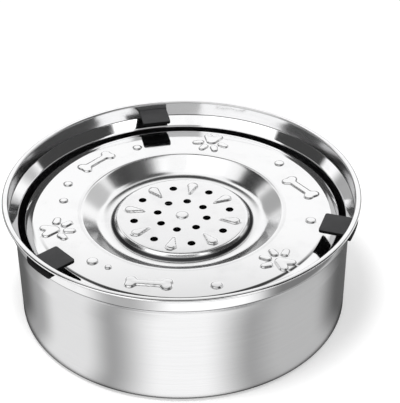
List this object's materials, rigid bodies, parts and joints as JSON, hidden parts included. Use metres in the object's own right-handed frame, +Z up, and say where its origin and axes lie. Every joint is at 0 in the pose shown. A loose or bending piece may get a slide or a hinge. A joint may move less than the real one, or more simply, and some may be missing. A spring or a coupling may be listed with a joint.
{
  "type": "no-spill water bowl",
  "caption": "Round steel no-spill pet water bowl: a perforated dish plate floats inside on a sealed trough, and sliding clips through the collar keep it from lifting out.",
  "frame": {"origin": "on the floor, on the bowl's axis", "axes": "+Z up along the bowl's axis, +Y towards the back clip, +X to the right"},
  "size_m": [0.24, 0.24, 0.088],
  "materials": {
    "brushed_steel": "brushed round the wall and collar, polished on the hem and base",
    "polished_steel": "mirror polish",
    "black_plastic": "semi-matte moulding",
    "black_rubber": "matte with grip grooves",
    "milky_plastic": "satin moulding",
    "seal_rubber": "matte"
  },
  "bodies": {
    "bowl": {"bowl_shell": "brushed_steel", "base_ring": "black_rubber"},
    "float": {"float_plate": "polished_steel", "float_pan": "milky_plastic", "outer_seal": "seal_rubber", "inner_seal": "seal_rubber"},
    "back_clip": {"clip_back": "black_plastic"},
    "left_clip": {"clip_left": "black_plastic"},
    "right_clip": {"clip_right": "black_plastic"}
  },
  "joints": [
    {"name": "float_lift", "type": "slide", "parent": "bowl", "child": "float", "axis": [0, 0, 1], "range_m": [-0.0405, 0.0064], "stiffness_N_per_m": 130, "springref_m": 0.019},
    {"name": "back_clip_slide", "type": "slide", "parent": "bowl", "child": "back_clip", "axis": [0, 1, 0], "range_m": [0, 0.014]},
    {"name": "left_clip_slide", "type": "slide", "parent": "bowl", "child": "left_clip", "axis": [-0.866, -0.5, 0], "range_m": [0, 0.014]},
    {"name": "right_clip_slide", "type": "slide", "parent": "bowl", "child": "right_clip", "axis": [0.866, -0.5, 0], "range_m": [0, 0.014]}
  ]
}
